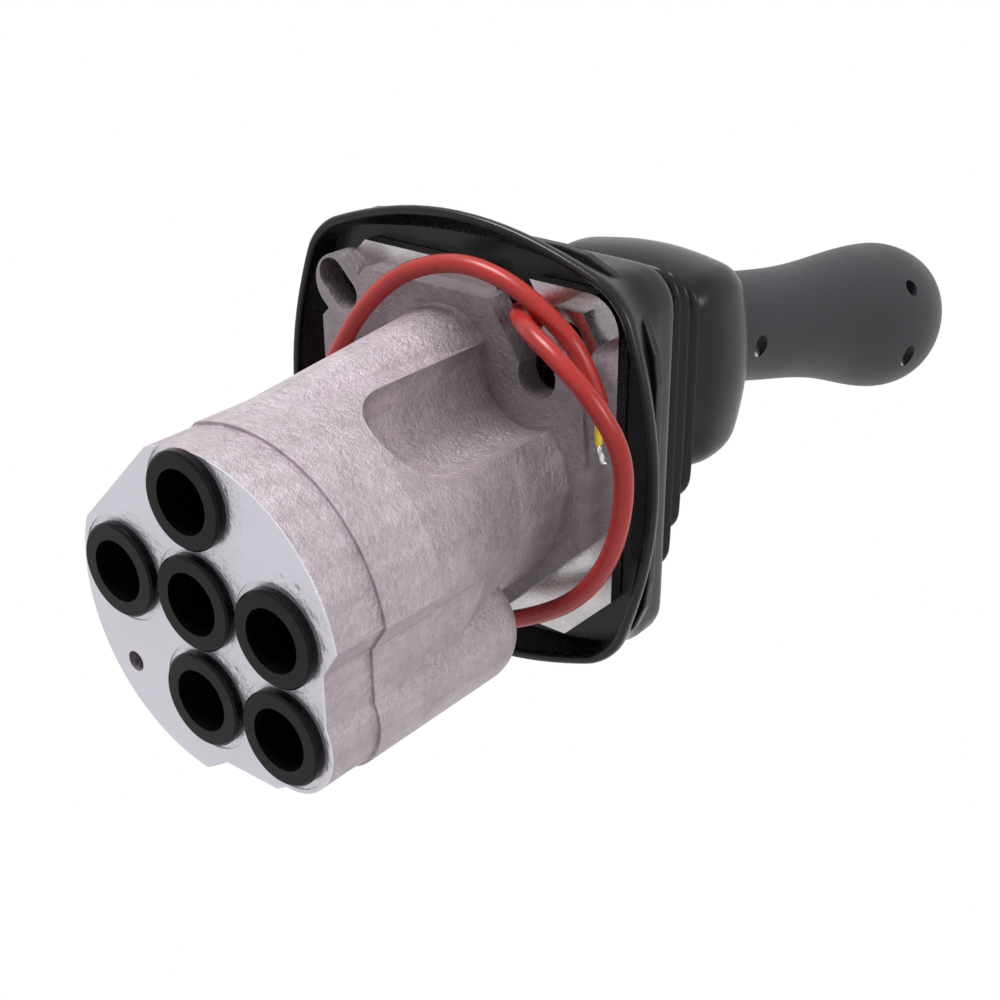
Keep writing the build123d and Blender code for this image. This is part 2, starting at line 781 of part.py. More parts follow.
with BuildPart() as grip_screws:
    with BuildSketch(parting_plane.offset(-grip_screw_reach)):
        with Locations(*grip_screw_sites):
            Circle(grip_screw_r)
    extrude(amount=2 * grip_screw_reach)
    with BuildSketch(parting_plane.offset(grip_screw_reach)):
        with Locations(*grip_screw_sites):
            Circle(grip_screw_head_r)
    extrude(amount=grip_screw_head_t)
    with BuildSketch(parting_plane.offset(grip_screw_reach + grip_screw_head_t - 1.4)):
        with Locations(*grip_screw_sites):
            RegularPolygon(1.3, 6)
    extrude(amount=1.4, mode=Mode.SUBTRACT)
save(grip_screws.part, "grip_screws")

with BuildPart() as push_button:
    with BuildSketch(parting_plane.offset(-button_reach)):
        with Locations(button_site):
            Circle(button_r)
    extrude(amount=button_reach - button_inner)
    fillet(push_button.faces().sort_by(parting_axis)[0].edges(), 1.2)
    with BuildSketch(parting_plane.offset(-button_inner - button_flange_t)):
        with Locations(button_site):
            Circle(button_flange_r)
    extrude(amount=button_flange_t)
save(push_button.part, "push_button")

with BuildPart() as switch_body:
    with BuildSketch(parting_plane.offset(-switch_t)):
        with Locations(button_site):
            Rectangle(switch_size, switch_size)
    extrude(amount=switch_t)
    fillet(switch_body.edges().filter_by(parting_axis), 1.5)
save(switch_body.part, "switch_body")

# ------------------------------------------------------------------ boot
with BuildPart() as boot:
    for height, half, corner_r, centre_x, centre_y in boot_sections:
        with BuildSketch(Plane.XY.offset(height)):
            with Locations((centre_x, centre_y)):
                RectangleRounded(2 * half, 2 * half, corner_r)
    loft(ruled=True)
    # skirt round the mounting plate
    with BuildSketch(Plane.XY.offset(boot_sections[0][0])):
        skirt = boot_sections[0][1] - boot_wall
        RectangleRounded(2 * skirt, 2 * skirt, boot_sections[0][2] - boot_wall)
    with BuildSketch(Plane.XY.offset(plate_t + boot_seat_gap)):
        RectangleRounded(2 * skirt - 6, 2 * skirt - 6, boot_sections[1][2])
    loft(mode=Mode.SUBTRACT)
    # opening of the ledge that grips the plate
    with BuildSketch(Plane.XY.offset(plate_t)):
        RectangleRounded(2 * boot_ledge_half, 2 * boot_ledge_half, 10.0)
    extrude(amount=boot_ledge_top_z - plate_t + 0.5, mode=Mode.SUBTRACT)
    # hollow inside the pleats and the dome
    hollow_sections = [(boot_ledge_top_z, *boot_sections[2][1:])]
    hollow_sections += boot_sections[2:-1]
    for height, half, corner_r, centre_x, centre_y in hollow_sections:
        with BuildSketch(Plane.XY.offset(height)):
            with Locations((centre_x, centre_y)):
                inner = half - boot_wall
                RectangleRounded(2 * inner, 2 * inner, corner_r - boot_wall)
    with BuildSketch(Plane.XY.offset(boot_sections[-1][0] - boot_wall)):
        with Locations(boot_sections[-1][3:]):
            RectangleRounded(2 * boot_collar_r + 2, 2 * boot_collar_r + 2, boot_collar_r)
    loft(ruled=True, mode=Mode.SUBTRACT)
    with BuildSketch(Plane.XY.offset(boot_sections[-2][0])):
        Circle(boot_collar_r)
    extrude(amount=20.0, mode=Mode.SUBTRACT)
save(boot.part, "boot")

# ------------------------------------------------------------------ wire sleeve
def cord_tube(route, radius):
    """Tube of straight runs joined by arcs, each as large as its two runs allow."""
    points = [Vector(*point) for point in route]
    bends = []
    for before, here, after in zip(points, points[1:], points[2:]):
        arriving = here - before
        leaving = after - here
        half_turn = math.radians(arriving.get_angle(leaving) / 2)
        bends.append(0.45 * min(arriving.length, leaving.length) / math.tan(half_turn))
    with BuildPart() as tube:
        with BuildLine() as path:
            FilletPolyline(*points, radius=bends)
        with BuildSketch(Plane(origin=path.line @ 0, z_dir=path.line % 0)):
            Circle(radius)
        sweep()
    return tube.part, min(bends)


sleeve, sleeve_bend = cord_tube(sleeve_route, sleeve_r)
save(sleeve, "wire_sleeve")
print("wire sleeve: tightest bend", round(sleeve_bend, 1))
save(cord_tube(wire_route, wire_r)[0], "signal_wire")
save(cord_tube(strands_route, strands_r)[0], "wire_strands")
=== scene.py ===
"""Looks of the pilot joystick valve: cast block, plugs, plate, rubber boot, grip and wires."""

import json
import math

import bmesh
import bpy
from mathutils import Matrix, Vector


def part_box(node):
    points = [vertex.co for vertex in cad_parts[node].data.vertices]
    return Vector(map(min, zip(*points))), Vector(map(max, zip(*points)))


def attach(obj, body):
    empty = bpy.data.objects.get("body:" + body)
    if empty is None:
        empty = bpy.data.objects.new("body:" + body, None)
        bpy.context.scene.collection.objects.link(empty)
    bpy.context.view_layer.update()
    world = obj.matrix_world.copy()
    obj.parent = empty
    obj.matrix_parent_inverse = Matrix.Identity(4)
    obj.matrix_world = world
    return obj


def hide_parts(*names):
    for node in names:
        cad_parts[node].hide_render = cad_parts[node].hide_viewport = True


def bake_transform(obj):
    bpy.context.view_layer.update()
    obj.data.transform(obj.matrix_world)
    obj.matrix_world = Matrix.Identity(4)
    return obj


bl_info = {
    "name": "Pilot Joystick Valve",
    "version": (1, 0, 0),
    "blender": (4, 5, 0),
    "location": "View3D > Sidebar > Joystick",
    "description": "Dresses the pilot joystick valve with its boot, wires, finishes and stage",
    "category": "Object",
}

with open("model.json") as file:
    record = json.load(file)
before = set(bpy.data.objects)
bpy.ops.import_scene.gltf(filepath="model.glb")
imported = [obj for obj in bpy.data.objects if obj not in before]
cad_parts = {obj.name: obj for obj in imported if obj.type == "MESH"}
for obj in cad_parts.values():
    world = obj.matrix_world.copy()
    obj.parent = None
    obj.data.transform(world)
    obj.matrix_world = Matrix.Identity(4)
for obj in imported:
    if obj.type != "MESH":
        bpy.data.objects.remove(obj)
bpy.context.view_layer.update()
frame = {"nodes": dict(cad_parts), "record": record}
PLATE_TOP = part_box("mounting_plate")[1][2]
PORT_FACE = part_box("valve_body")[0][2]
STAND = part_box("port_plug_1")[0][2]
MM = 0.001
BOOT_LIP = 2.5 * MM           # the collar's lip, turned in along the grip
LEDGE_GAP = 0.4 * MM          # play of the boot's ledge over the plate
LEDGE_HALF = 54 * MM          # outer half width of the ledge
LEDGE_CORNER = 28 * MM
LEDGE_WALL = 2.6 * MM
STRANDS = 6                   # tinned strands round the middle one
FACE_DEPTH = 0.45 * MM        # depth of the machined finish at the port face

# Height, half width, corner radius and centre of the boot's sections, in millimetres.
SHOULDER = (12.0, 49.6, 10.0, 0.0, 0.0)
SKIRT_SECTIONS = [
    (10.6, 50.2, 12.0, 0.0, 0.0),
    (8.6, 51.6, 18.0, 0.0, 0.0),
    (6.0, 53.6, 26.0, 0.0, 0.0),
    (3.0, 56.2, 34.0, 0.0, 0.0),
    (0.4, 58.6, 40.0, 0.0, 0.0),
    (-1.2, 59.6, 43.0, 0.0, 0.0),
    (-3.0, 59.2, 43.0, 0.0, 0.0),
]
LOWER_PLEATS = [
    (17.0, 49.6, 10.0, 0.0, 0.0),
    (18.4, 49.2, 9.6, 0.0, 0.0),
    (19.6, 44.5, 8.6, 0.8, -0.8),
    (22.0, 39.6, 8.0, 2.0, -2.0),
    (24.8, 37.6, 8.0, 2.4, -2.8),
    (27.2, 38.6, 8.0, 2.8, -3.4),
    (28.6, 41.6, 8.2, 3.0, -4.0),
    (29.6, 41.4, 8.2, 3.0, -4.0),
    (30.6, 37.4, 7.6, 3.2, -4.0),
    (33.2, 34.4, 7.2, 3.5, -4.0),
    (35.8, 34.0, 7.4, 3.7, -4.2),
    (37.9, 34.4, 8.0, 3.9, -4.4),
    (39.2, 36.6, 8.0, 4.0, -4.5),
    (40.2, 36.4, 8.0, 4.0, -4.5),
    (41.2, 34.0, 8.0, 4.3, -4.5),
    (43.6, 30.0, 8.0, 4.5, -4.5),
]
UPPER_PLEATS = [
    (46.2, 28.4, 8.0, 4.7, -4.5),
    (48.3, 29.4, 8.6, 4.9, -4.5),
    (49.6, 32.2, 8.6, 5.0, -4.5),
    (50.6, 32.0, 8.6, 5.0, -4.5),
    (51.6, 28.4, 8.6, 5.3, -4.5),
    (54.2, 25.8, 9.0, 5.5, -4.5),
    (57.4, 26.2, 10.0, 5.8, -4.5),
    (61.5, 28.6, 12.0, 6.0, -4.5),
    (66.0, 29.8, 14.0, 6.0, -4.5),
    (71.0, 30.2, 15.5, 6.0, -4.5),
    (76.0, 30.0, 16.0, 6.0, -4.5),
    (80.5, 28.8, 16.4, 6.0, -4.5),
    (84.5, 26.6, 16.8, 6.0, -4.5),
    (87.8, 23.6, 17.4, 4.8, -3.6),
    (90.2, 20.8, 18.0, 3.0, -2.2),
    (91.6, 18.8, 18.0, 1.2, -0.9),
    (91.8, 17.6, 17.4, 0.0, 0.0),
]

# Routes of the wire sleeve, the insulated wire and its bare end, in millimetres.
SLEEVE_ROUTE = [
    (20.0, -31.0, 14.0),
    (18.7, -36.3, 3.0),
    (22.7, -41.0, -8.0),
    (32.0, -41.5, -17.0),
    (44.0, -38.0, -21.0),
    (54.5, -29.5, -20.5),
    (60.0, -17.5, -17.0),
    (58.5, -1.0, -14.5),
    (53.0, 14.5, -12.5),
    (44.0, 27.0, -12.0),
    (31.0, 36.0, -12.0),
    (16.0, 43.0, -12.0),
    (-2.0, 46.5, -12.0),
    (-20.0, 42.5, -12.0),
    (-34.5, 30.5, -12.0),
    (-41.5, 13.5, -12.0),
    (-40.0, -4.5, -12.0),
    (-32.0, -20.0, -11.5),
    (-21.5, -34.5, -12.0),
    (-8.5, -45.5, -12.0),
    (7.5, -51.0, -11.5),
    (22.5, -49.5, -11.5),
    (35.5, -42.5, -11.0),
    (43.5, -34.0, -9.5),
    (46.5, -23.5, -8.0),
]
WIRE_ROUTE = [(46.5, -22.9, -7.9), (45.2, -17.5, -6.4), (45.0, -12.5, -5.4)]
STRANDS_ROUTE = [(45.0, -12.1, -5.4), (45.3, -9.8, -5.0), (46.3, -7.6, -5.0)]

# Roughness, grain in millimetres, scale of the pits and shine of each moulded finish.
MOULDINGS = {
    "plug_plastic": (0.25, 0.01, 900.0, 0.12),
    "seal_rubber": (0.6, 0.03, 700.0, 0.5),
    "grip_plastic": (0.42, 0.035, 1500.0, 0.3),
    "button_plastic": (0.4, 0.02, 1200.0, 0.5),
    "boot_moulding": (0.28, 0.02, 1100.0, 0.3),
    "sleeve_coating": (0.3, 0.01, 800.0, 0.35),
    "wire_insulation": (0.35, 0.01, 900.0, 0.5),
}
SEAL_COLOUR = (0.015, 0.015, 0.015, 1)


class BootSettings(bpy.types.PropertyGroup):
    """Sizes and colour of the rubber boot."""

    wall: bpy.props.FloatProperty(
        name="Wall", description="Thickness of the moulded rubber",
        default=2.3 * MM, min=0.5 * MM, max=4 * MM, unit="LENGTH", subtype="DISTANCE")
    ledge_half: bpy.props.FloatProperty(
        name="Ledge half width", description="Half width of the opening in the boot's ledge",
        default=39 * MM, unit="LENGTH", subtype="DISTANCE")
    colour: bpy.props.FloatVectorProperty(
        name="Rubber", description="Colour of the rubber", subtype="COLOR", size=4,
        min=0, max=1, default=(0.003, 0.003, 0.0035, 1))


class WireSettings(bpy.types.PropertyGroup):
    """Sizes and colours of the sleeve and the wire in it."""

    sleeve_diameter: bpy.props.FloatProperty(
        name="Sleeve diameter", description="Outer diameter of the sleeve",
        default=4.6 * MM, unit="LENGTH", subtype="DISTANCE")
    wire_diameter: bpy.props.FloatProperty(
        name="Wire diameter", description="Outer diameter of the insulated wire",
        default=1.8 * MM, unit="LENGTH", subtype="DISTANCE")
    strand_diameter: bpy.props.FloatProperty(
        name="Strand diameter", description="Diameter of one tinned strand",
        default=0.5 * MM, unit="LENGTH", subtype="DISTANCE")
    sleeve_colour: bpy.props.FloatVectorProperty(
        name="Sleeve", description="Colour of the sleeve", subtype="COLOR", size=4,
        min=0, max=1, default=(0.33, 0.02, 0.016, 1))
    wire_colour: bpy.props.FloatVectorProperty(
        name="Wire", description="Colour of the insulation", subtype="COLOR", size=4,
        min=0, max=1, default=(0.74, 0.56, 0.03, 1))


class FinishSettings(bpy.types.PropertyGroup):
    """Colours of the metal and plastic pieces."""

    cast_light: bpy.props.FloatVectorProperty(
        name="Casting, light", description="Paler patches of the casting", subtype="COLOR",
        size=4, min=0, max=1, default=(0.56, 0.49, 0.53, 1))
    cast_dark: bpy.props.FloatVectorProperty(
        name="Casting, dark", description="Darker patches of the casting", subtype="COLOR",
        size=4, min=0, max=1, default=(0.37, 0.315, 0.345, 1))
    machined: bpy.props.FloatVectorProperty(
        name="Machined face", description="Colour of the machined port face", subtype="COLOR",
        size=4, min=0, max=1, default=(0.68, 0.65, 0.72, 1))
    plug: bpy.props.FloatVectorProperty(
        name="Plugs", description="Colour of the port plugs", subtype="COLOR", size=4,
        min=0, max=1, default=(0.0025, 0.0025, 0.003, 1))
    grip: bpy.props.FloatVectorProperty(
        name="Grip", description="Colour of the grip", subtype="COLOR", size=4,
        min=0, max=1, default=(0.018, 0.015, 0.02, 1))


class StageSettings(bpy.types.PropertyGroup):
    """Camera, lamps and floor."""

    eye: bpy.props.FloatVectorProperty(
        name="Eye", description="Place of the camera", subtype="XYZ", unit="LENGTH",
        default=(0.2347, -0.1601, -0.2791))
    look: bpy.props.FloatVectorProperty(
        name="View direction", description="Direction in which the camera looks", subtype="XYZ",
        default=(-0.5618, 0.4384, 0.7015))
    up: bpy.props.FloatVectorProperty(
        name="Picture up", description="Direction that is up in the picture", subtype="XYZ",
        default=(-0.2697, -0.8988, 0.3457))
    lens: bpy.props.FloatProperty(
        name="Lens", description="Focal length on a 36 mm sensor, in millimetres", default=56.36)
    room_light: bpy.props.FloatProperty(
        name="Room light", description="Strength of the light from all round", default=0.42, min=0)
    key_power: bpy.props.FloatProperty(
        name="Key lamp", description="Power of the large lamp", default=7.5, min=0,
        unit="POWER")
    fill_power: bpy.props.FloatProperty(
        name="Fill lamp", description="Power of the second lamp", default=3.0, min=0, unit="POWER")


# ------------------------------------------------------------------ modelling helpers
def deselect():
    """Leave nothing selected before a new piece is started."""
    bpy.ops.object.select_all(action="DESELECT")


def edit(piece):
    """Open one piece in edit mode, with nothing else selected."""
    deselect()
    bpy.context.view_layer.objects.active = piece
    piece.select_set(True)
    bpy.ops.object.mode_set(mode="EDIT")


def pick(piece, kind, test):
    """Select the vertices, edges or faces of the open piece that pass a test."""
    bpy.ops.mesh.select_mode(type=kind)
    bpy.ops.mesh.select_all(action="DESELECT")
    shape = bmesh.from_edit_mesh(piece.data)
    parts = {"VERT": shape.verts, "EDGE": shape.edges, "FACE": shape.faces}[kind]
    for part in parts:
        if test(part):
            part.select_set(True)
    shape.select_flush_mode()
    bmesh.update_edit_mesh(piece.data)


def picked(piece):
    """Places of the selected vertices of the open piece."""
    shape = bmesh.from_edit_mesh(piece.data)
    return [vertex.co.copy() for vertex in shape.verts if vertex.select]


def finish_piece(piece, body, material):
    """Settle a piece at the origin, on its body, with its finish."""
    if bpy.context.mode != "OBJECT":
        bpy.ops.object.mode_set(mode="OBJECT")
    deselect()
    piece.select_set(True)
    bpy.context.view_layer.objects.active = piece
    bpy.ops.object.transform_apply(location=True, rotation=True, scale=True)
    piece.data.materials.clear()
    piece.data.materials.append(material)
    if body:
        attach(piece, body)


def add_modifier(piece, kind, **values):
    """Add a modifier with its values and apply it."""
    made = piece.modifiers.new(kind.title(), kind)
    for name, value in values.items():
        setattr(made, name, value)
    deselect()
    piece.select_set(True)
    bpy.context.view_layer.objects.active = piece
    bpy.ops.object.modifier_apply(modifier=made.name)


# ------------------------------------------------------------------ shader helpers
def add_node(tree, kind, **values):
    """A shader node with its settings and sockets set by name."""
    made = tree.nodes.new(kind)
    for name, value in values.items():
        if hasattr(made, name):
            setattr(made, name, value)
        else:
            made.inputs[name.replace("_", " ")].default_value = value
    return made


def join(tree, source, socket, target, name):
    """Link two shader nodes by socket names."""
    tree.links.new(source.outputs[socket], target.inputs[name])


def new_material(name, metallic=0.0, roughness=0.5, **shader):
    """A material with its Principled shader and object coordinates."""
    material = bpy.data.materials.new(name)
    material.use_nodes = True
    tree = material.node_tree
    surface = tree.nodes["Principled BSDF"]
    surface.inputs["Metallic"].default_value = metallic
    surface.inputs["Roughness"].default_value = roughness
    for socket, value in shader.items():
        surface.inputs[socket.replace("_", " ")].default_value = value
    return material, tree, surface, add_node(tree, "ShaderNodeTexCoord")


def new_group(name, inputs, outputs):
    """An empty shader group with named sockets."""
    group = bpy.data.node_groups.new(name, "ShaderNodeTree")
    for label, kind, value in inputs:
        socket = group.interface.new_socket(label, in_out="INPUT", socket_type=kind)
        if value is not None:
            socket.default_value = value
    for label, kind in outputs:
        group.interface.new_socket(label, in_out="OUTPUT", socket_type=kind)
    return group, group.nodes.new("NodeGroupInput"), group.nodes.new("NodeGroupOutput")


def mottle_group():
    """Two sizes of cloudy patches, for colour and roughness that vary over a surface."""
    group, start, end = new_group(
        "Mottle",
        [("Vector", "NodeSocketVector", None), ("Patch Scale", "NodeSocketFloat", 40.0),
         ("Fine Scale", "NodeSocketFloat", 400.0), ("Fine Share", "NodeSocketFloat", 0.35)],
        [("Mask", "NodeSocketFloat")])
    patches = add_node(group, "ShaderNodeTexNoise", Detail=4.0, Roughness=0.6)
    fine = add_node(group, "ShaderNodeTexNoise", Detail=3.0, Roughness=0.7)
    blend = add_node(group, "ShaderNodeMix", data_type="FLOAT")
    spread = add_node(group, "ShaderNodeMapRange", From_Min=0.36, From_Max=0.64)
    join(group, start, "Vector", patches, "Vector")
    join(group, start, "Patch Scale", patches, "Scale")
    join(group, start, "Vector", fine, "Vector")
    join(group, start, "Fine Scale", fine, "Scale")
    join(group, start, "Fine Share", blend, "Factor")
    group.links.new(patches.outputs["Fac"], blend.inputs[2])
    group.links.new(fine.outputs["Fac"], blend.inputs[3])
    group.links.new(blend.outputs[0], spread.inputs["Value"])
    join(group, spread, "Result", end, "Mask")
    return group


def pits_group():
    """Scattered small pits, as the dents and pores of a casting or a moulding."""
    group, start, end = new_group(
        "Pits",
        [("Vector", "NodeSocketVector", None), ("Scale", "NodeSocketFloat", 300.0),
         ("Size", "NodeSocketFloat", 0.25)],
        [("Depth", "NodeSocketFloat")])
    cells = add_node(group, "ShaderNodeTexVoronoi", Randomness=1.0)
    rim = add_node(group, "ShaderNodeMapRange", From_Min=0.0, To_Min=1.0, To_Max=0.0)
    join(group, start, "Vector", cells, "Vector")
    join(group, start, "Scale", cells, "Scale")
    join(group, cells, "Distance", rim, "Value")
    join(group, start, "Size", rim, "From Max")
    join(group, rim, "Result", end, "Depth")
    return group


def place_group(tree, group, coordinates, **values):
    """A shader group in a material, on object coordinates, with its own values."""
    made = tree.nodes.new("ShaderNodeGroup")
    made.node_tree = group
    join(tree, coordinates, "Object", made, "Vector")
    for name, value in values.items():
        made.inputs[name.replace("_", " ")].default_value = value
    return made


def two_tone(tree, mask, dark, light):
    """A colour that runs from dark to light with a mask."""
    mix = add_node(tree, "ShaderNodeMix", data_type="RGBA")
    mix.inputs[6].default_value = dark
    mix.inputs[7].default_value = light
    tree.links.new(mask, mix.inputs[0])
    return mix.outputs[2]


def add_bump(tree, surface, height, distance, strength=1.0, before=None):
    """Bump from a height, after an earlier bump if there is one."""
    bump = add_node(tree, "ShaderNodeBump", Distance=distance, Strength=strength)
    tree.links.new(height, bump.inputs["Height"])
    if before:
        join(tree, before, "Normal", bump, "Normal")
    join(tree, bump, "Normal", surface, "Normal")
    return bump


def spread(tree, value, low, high):
    """A value from 0 to 1 set between two limits."""
    made = add_node(tree, "ShaderNodeMapRange", To_Min=low, To_Max=high)
    tree.links.new(value, made.inputs["Value"])
    return made.outputs["Result"]


def cast_block(mottle, pits, settings):
    """Sandy casting with die marks, painted shade that darkens it towards the flange, and its
    machined port face.
    """
    material, tree, surface, coordinates = new_material("cast_block", metallic=0.72)
    tones = place_group(tree, mottle, coordinates, Patch_Scale=34.0, Fine_Scale=420.0)
    grain = place_group(tree, mottle, coordinates, Patch_Scale=900.0, Fine_Scale=2600.0)
    dents = place_group(tree, pits, coordinates, Scale=150.0, Size=0.16)
    stretch = add_node(tree, "ShaderNodeMapping", Scale=(260.0, 260.0, 14.0))
    join(tree, coordinates, "Object", stretch, "Vector")
    draw_marks = add_node(tree, "ShaderNodeTexNoise", Scale=1.0, Detail=3.0)
    join(tree, stretch, "Vector", draw_marks, "Vector")
    # height above the port face tells the machined face from the casting
    parts = add_node(tree, "ShaderNodeSeparateXYZ")
    join(tree, coordinates, "Object", parts, "Vector")
    face = add_node(tree, "ShaderNodeMath", operation="LESS_THAN")
    face.inputs[1].default_value = PORT_FACE + FACE_DEPTH
    join(tree, parts, "Z", face, 0)
    # casting colour, times the die marks and a painted shade towards the flange
    cast = two_tone(tree, tones.outputs["Mask"], settings.cast_dark, settings.cast_light)
    marks_and_shade = add_node(tree, "ShaderNodeMix", data_type="RGBA", blend_type="MULTIPLY")
    marks_and_shade.inputs[0].default_value = 1.0
    tree.links.new(cast, marks_and_shade.inputs[6])
    # painted shade: the colour falls to 0.62 of its value from z -24 mm up to -6 mm, towards the
    # flange under the plate and boot
    painted_shade = add_node(
        tree, "ShaderNodeMapRange", From_Min=-24 * MM, From_Max=-6 * MM, To_Min=1.0, To_Max=0.62)
    join(tree, parts, "Z", painted_shade, "Value")
    tone = add_node(tree, "ShaderNodeMath", operation="MULTIPLY")
    tree.links.new(spread(tree, draw_marks.outputs["Fac"], 0.72, 1.12), tone.inputs[0])
    join(tree, painted_shade, "Result", tone, 1)
    join(tree, tone, "Value", marks_and_shade, 7)
    colour = add_node(tree, "ShaderNodeMix", data_type="RGBA")
    join(tree, face, "Value", colour, 0)
    tree.links.new(marks_and_shade.outputs[2], colour.inputs[6])
    colour.inputs[7].default_value = settings.machined
    tree.links.new(colour.outputs[2], surface.inputs["Base Color"])
    rough = add_node(tree, "ShaderNodeMix", data_type="FLOAT")
    join(tree, face, "Value", rough, 0)
    tree.links.new(spread(tree, grain.outputs["Mask"], 0.42, 0.62), rough.inputs[2])
    rough.inputs[3].default_value = 0.3
    tree.links.new(rough.outputs[0], surface.inputs["Roughness"])
    # sand grain, left off the machined face, and dents all over
    cover = add_node(tree, "ShaderNodeMath", operation="SUBTRACT")
    cover.inputs[0].default_value = 1.0
    tree.links.new(face.outputs[0], cover.inputs[1])
    sand = add_node(tree, "ShaderNodeMath", operation="MULTIPLY")
    tree.links.new(grain.outputs["Mask"], sand.inputs[0])
    tree.links.new(cover.outputs[0], sand.inputs[1])
    first = add_bump(tree, surface, sand.outputs[0], 0.16 * MM)
    hollows = add_node(tree, "ShaderNodeMath", operation="MULTIPLY")
    tree.links.new(dents.outputs["Depth"], hollows.inputs[0])
    hollows.inputs[1].default_value = -1.0
    second = add_bump(tree, surface, hollows.outputs[0], 0.30 * MM, 0.6, first)
    add_bump(tree, surface, tones.outputs["Mask"], 0.5 * MM, 0.5, second)
    return material


def bright_steel(name, mottle, tone, roughness):
    """Plated or ground steel with faint clouding and rubbing."""
    material, tree, surface, coordinates = new_material(name, metallic=1.0)
    clouds = place_group(tree, mottle, coordinates, Patch_Scale=60.0, Fine_Scale=900.0)
    dark = tuple(0.72 * channel for channel in tone[:3]) + (1,)
    tree.links.new(two_tone(tree, clouds.outputs["Mask"], dark, tone), surface.inputs["Base Color"])
    tree.links.new(
        spread(tree, clouds.outputs["Mask"], roughness + 0.12, roughness - 0.05),
        surface.inputs["Roughness"])
    add_bump(tree, surface, clouds.outputs["Mask"], 0.03 * MM)
    return material


def moulded(name, mottle, pits, tone):
    """Moulded plastic or rubber with fine grain, faint dust and a few marks."""
    roughness, grain, pit_scale, shine = MOULDINGS[name]
    material, tree, surface, coordinates = new_material(name, Specular_IOR_Level=shine)
    clouds = place_group(tree, mottle, coordinates, Patch_Scale=26.0, Fine_Scale=700.0)
    marks = place_group(tree, pits, coordinates, Scale=pit_scale, Size=0.35)
    pale = tuple(1.4 * channel + 0.002 for channel in tone[:3]) + (1,)
    tree.links.new(two_tone(tree, clouds.outputs["Mask"], tone, pale), surface.inputs["Base Color"])
    tree.links.new(
        spread(tree, clouds.outputs["Mask"], roughness - 0.05, roughness + 0.09),
        surface.inputs["Roughness"])
    add_bump(tree, surface, marks.outputs["Depth"], grain * MM)
    return material


# ------------------------------------------------------------------ boot
def start_frame(name, section):
    """Open outline of a square with rounded corners, left open in edit mode and selected."""
    height, half, corner, *centre = (value * MM for value in section)
    deselect()
    bpy.ops.mesh.primitive_plane_add(size=2 * half, location=(*centre, height))
    piece = bpy.context.object
    piece.name = name
    bpy.ops.object.transform_apply(location=True, rotation=True, scale=True)
    edit(piece)
    bpy.ops.mesh.select_all(action="SELECT")
    bpy.ops.mesh.bevel(offset=corner, offset_type="OFFSET", segments=6, affect="VERTICES")
    bpy.ops.mesh.delete(type="ONLY_FACE")
    pick(piece, "EDGE", lambda edge: edge.calc_length() > half)
    bpy.ops.mesh.subdivide(number_cuts=9)
    bpy.ops.mesh.select_all(action="SELECT")
    return piece


def outline_facts(points):
    """Middle of an outline, and its side, diagonal and mean distance from there."""
    middle = sum(points, Vector()) / len(points)
    reach = [(point - middle).length for point in points]
    side = max(point.x - middle.x for point in points)
    return middle, side, max(reach), sum(reach) / len(reach)


def extrude_section(piece, section):
    """Extrude the open edge to a section's height, then round it, size it and shift it."""
    height, half, corner, *centre = (value * MM for value in section)
    middle, *facts = outline_facts(picked(piece))
    move = Vector((*centre, height)) - middle
    bpy.ops.mesh.extrude_region_move(TRANSFORM_OT_translate={"value": move})
    side, diagonal, mean = facts
    wanted = math.sqrt(2) - (math.sqrt(2) - 1) * corner / half
    rounding = (diagonal - wanted * side) / ((diagonal - mean) + wanted * (mean - side))
    if rounding > 0.002:
        bpy.ops.transform.tosphere(value=min(1.0, rounding))
    side = outline_facts(picked(piece))[1]
    bpy.ops.transform.resize(value=(half / side, half / side, 1))


def finish_shell(piece, wall):
    """Give an open moulding its wall and its rounded edges."""
    bpy.ops.mesh.select_all(action="SELECT")
    bpy.ops.mesh.normals_make_consistent(inside=False)
    bpy.ops.object.mode_set(mode="OBJECT")
    add_modifier(piece, "SOLIDIFY", thickness=wall, offset=-1.0)
    add_modifier(piece, "SUBSURF", levels=1, render_levels=1)
    bpy.ops.object.shade_smooth()


